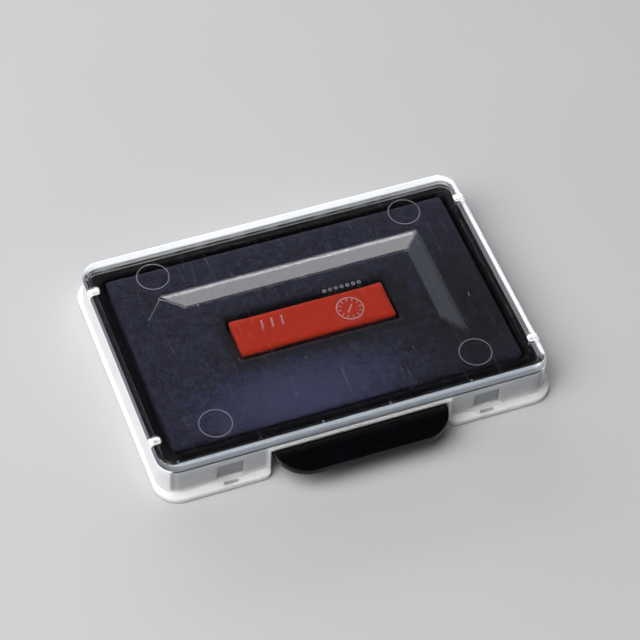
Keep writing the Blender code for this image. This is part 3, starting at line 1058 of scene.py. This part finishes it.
def clear_plastic():
    """Crystal-clear moulding with hairline scratches and a little haze."""
    made = Nodes("window_clear_plastic")
    haze = made.noise(7 * MM, detail=4.0, rough=0.6)
    one_way = scratches(made, 0.35 * MM, 28, 0.7)
    other_way = scratches(made, 0.4 * MM, -52, 0.71)
    lines = made.math("MAXIMUM", one_way, other_way)
    dull = made.math("MULTIPLY", lines, 0.2)
    rough = made.math("ADD", made.span(haze, 0.35, 0.7, 0.02, 0.05), dull)
    made.set(
        Base_Color=(0.97, 0.975, 1.0, 1), Roughness=rough, IOR=CLEAR_IOR, Transmission_Weight=1.0,
    )
    ripple = made.noise(12 * MM, detail=1.0)
    made.set(Normal=made.bump(ripple, 0.12, 0.02 * MM, made.bump(lines, 0.12, 0.004 * MM)))
    let_light_through(made)
    return made.material


def frosted_plastic():
    """The same plastic where the mould was matt: ridges and marks."""
    made = Nodes("window_frosted_plastic")
    grain = made.noise(0.15 * MM, detail=3.0)
    made.set(
        Base_Color=made.blend(grain, (0.3, 0.31, 0.36, 1), (0.42, 0.43, 0.48, 1)),
        Roughness=made.span(grain, 0.3, 0.7, 0.35, 0.55), IOR=CLEAR_IOR, Transmission_Weight=0.75,
    )
    made.set(Normal=made.bump(grain, 0.3, 0.01 * MM))
    let_light_through(made)
    return made.material


def rim_plastic():
    """The plate's dull edge, with painted light by side for the walls seen through it: bluish in
    front, painted shade at the left, white at the back and the right.
    """
    made = Nodes("window_rim_plastic")
    cloud = made.noise(3 * MM, detail=3.0)
    colour = made.blend(cloud, (0.28, 0.31, 0.35, 1), (0.36, 0.39, 0.44, 1))
    x, y, _ = made.split()
    left = made.span(x, -(WALL_X - PLATE_EDGE), -(WALL_X - WALL_CORNER), 1.0, 0.0)
    back = made.span(y, WALL_Y - WALL_CORNER, WALL_Y - PLATE_EDGE)
    right = made.span(x, WALL_X - WALL_CORNER, WALL_X - PLATE_EDGE)
    # Painted shade at the left; painted reflections of the white walls at the back and the right.
    colour = made.blend(left, colour, (0.13, 0.14, 0.16, 1))
    colour = made.blend(back, colour, (0.76, 0.77, 0.78, 1))
    colour = made.blend(right, colour, (0.92, 0.93, 0.94, 1))
    made.set(
        Base_Color=colour, Roughness=made.span(cloud, 0.3, 0.7, 0.3, 0.45),
        IOR=CLEAR_IOR, Specular_IOR_Level=0.25, Transmission_Weight=0.12,
    )
    made.set(Normal=made.bump(made.noise(0.3 * MM, detail=3.0), 0.1, 0.005 * MM))
    let_light_through(made)
    return made.material


def rib_plastic():
    """The locating rib as a faint pane: the photo shows no rib through the plate."""
    made = Nodes("window_rib_plastic")
    cloud = made.noise(2 * MM, detail=3.0)
    made.set(
        Base_Color=made.blend(cloud, (0.05, 0.05, 0.06, 1), (0.09, 0.09, 0.1, 1)),
        Roughness=made.span(cloud, 0.3, 0.7, 0.3, 0.45), IOR=CLEAR_IOR, Alpha=0.12,
    )
    return made.material


def floor_paint():
    """Pale studio paper with a faint tooth."""
    made = Nodes("studio_paper")
    cloud = made.noise(60 * MM, detail=3.0)
    colour = made.blend(cloud, (0.49, 0.495, 0.505, 1), (0.53, 0.535, 0.545, 1))
    made.set(Base_Color=colour, Roughness=0.85, Specular_IOR_Level=0.2)
    made.set(Normal=made.bump(made.noise(0.5 * MM, detail=4.0), 0.15, 0.03 * MM))
    return made.material


# ---------------------------------------------------------------- studio

CAMERA_DISTANCE = 431.14 * MM
CAMERA_ELEVATION = 51.43
CAMERA_AZIMUTH = -23.37
CAMERA_ROLL = 3.69
CAMERA_LENS = 150.5
AIM = Vector((0.66 * MM, -1.53 * MM, PLATE_TOP))
LIGHT_DISTANCE = 0.7
FLOOR_HALF = 3.0
FLOOR_DROP = 0.05 * MM              # keeps the floor clear of the object's underside


def direction(azimuth, elevation):
    """Unit vector towards a camera or light: azimuth 0 is the front, 90 the right."""
    turn = math.radians(azimuth)
    lift = math.radians(elevation)
    return Vector((
        math.sin(turn) * math.cos(lift), -math.cos(turn) * math.cos(lift), math.sin(lift)
    ))


def build_camera():
    """The camera looks down from the front left, a little rolled."""
    data = bpy.data.cameras.new("camera")
    data.lens = CAMERA_LENS
    data.sensor_width = 36.0
    camera = bpy.data.objects.new("camera", data)
    back = direction(CAMERA_AZIMUTH, CAMERA_ELEVATION)
    camera.location = AIM + back * CAMERA_DISTANCE
    roll = Quaternion((0, 0, 1), math.radians(CAMERA_ROLL))
    camera.rotation_mode = "QUATERNION"
    camera.rotation_quaternion = (-back).to_track_quat("-Z", "Y") @ roll
    bpy.context.scene.collection.objects.link(camera)
    bpy.context.scene.camera = camera


def softbox(name, azimuth, elevation, size, radiance, colour=(1, 1, 1)):
    """An area light of this brightness, aimed at the object."""
    data = bpy.data.lights.new(name, "AREA")
    data.shape = "RECTANGLE"
    width, height = size
    data.size = width
    data.size_y = height
    data.energy = radiance * width * height * math.pi
    data.color = colour
    light = bpy.data.objects.new(name, data)
    toward = direction(azimuth, elevation)
    light.location = AIM + toward * LIGHT_DISTANCE
    light.rotation_mode = "QUATERNION"
    light.rotation_quaternion = toward.to_track_quat("Z", "Y")
    bpy.context.scene.collection.objects.link(light)


def build_studio():
    """Pale floor, a key from the left, a top light, and boxes for the panel's slopes."""
    work = bmesh.new()
    corners = box_outline(-FLOOR_HALF, FLOOR_HALF, -FLOOR_HALF, FLOOR_HALF)
    work.faces.new([work.verts.new((x, y, -FLOOR_DROP)) for x, y in corners])
    floor = mesh_object("floor", work, floor_paint())
    if floor.data.polygons[0].normal.z < 0:
        floor.data.flip_normals()
    softbox("key", azimuth=-82, elevation=48, size=(0.6, 0.6), radiance=4.6)
    softbox("top", azimuth=-60, elevation=78, size=(0.45, 0.45), radiance=2.8)
    softbox("front_fill", azimuth=-15, elevation=24, size=(0.5, 0.2), radiance=0.4)
    softbox("rear", azimuth=-178, elevation=13, size=(0.8, 0.16), radiance=9.0)
    softbox("back_strip", azimuth=162, elevation=30, size=(0.34, 0.16), radiance=1.9)
    softbox(
        "back_fill", azimuth=136, elevation=37, size=(0.2, 0.2), radiance=0.4,
        colour=(0.8, 0.87, 1.0),
    )
    world = bpy.data.worlds.new("studio")
    world.use_nodes = True
    sky = world.node_tree.nodes["Background"].inputs
    sky["Color"].default_value = (0.9, 0.95, 1.0, 1)
    sky["Strength"].default_value = 0.012
    bpy.context.scene.world = world
    bpy.context.scene.view_settings.view_transform = "Standard"


# ---------------------------------------------------------------- build

# Dark, light and painted glint colour for the felts; dark and light for the foams.
VIOLET = ((0.001, 0.001, 0.002, 1), (0.025, 0.025, 0.055, 1), (0.075, 0.08, 0.15, 1))
RED = ((0.23, 0.01, 0.001, 1), (0.32, 0.016, 0.002, 1), (0.34, 0.03, 0.008, 1))
VIOLET_FOAM = ((0.008, 0.008, 0.018, 1), (0.04, 0.04, 0.09, 1))
RED_FOAM = ((0.1, 0.012, 0.007, 1), (0.36, 0.05, 0.03, 1))

build_camera()
build_studio()
build_cartridge(black_plastic())
build_cap_frame(white_plastic())
build_window(clear_plastic(), frosted_plastic(), rim_plastic(), rib_plastic())
build_pad(
    "main_felt", "main_felt_pad", DATE_HOLE,
    voxel=0.42 * MM, grain=0.5 * MM, height=0.05 * MM,
    material=felt("main_violet_felt", felt_high.z, *VIOLET, violet_light_and_shade), slot="violet_felt",
)
build_pad(
    "date_felt", "date_felt_pad", None,
    voxel=0.22 * MM, grain=0.5 * MM, height=0.04 * MM,
    material=felt("date_red_felt", date_high.z, *RED, no_painted_light), slot="red_felt",
)
build_pad(
    "main_reservoir", "main_reservoir_foam", DIVIDER_HOLE,
    voxel=0.7 * MM, grain=0.8 * MM, height=0.08 * MM,
    material=foam("main_violet_foam", *VIOLET_FOAM), slot="violet_foam",
)
build_pad(
    "date_reservoir", "date_reservoir_foam", None,
    voxel=0.45 * MM, grain=0.8 * MM, height=0.08 * MM,
    material=foam("date_red_foam", *RED_FOAM), slot="red_foam",
)
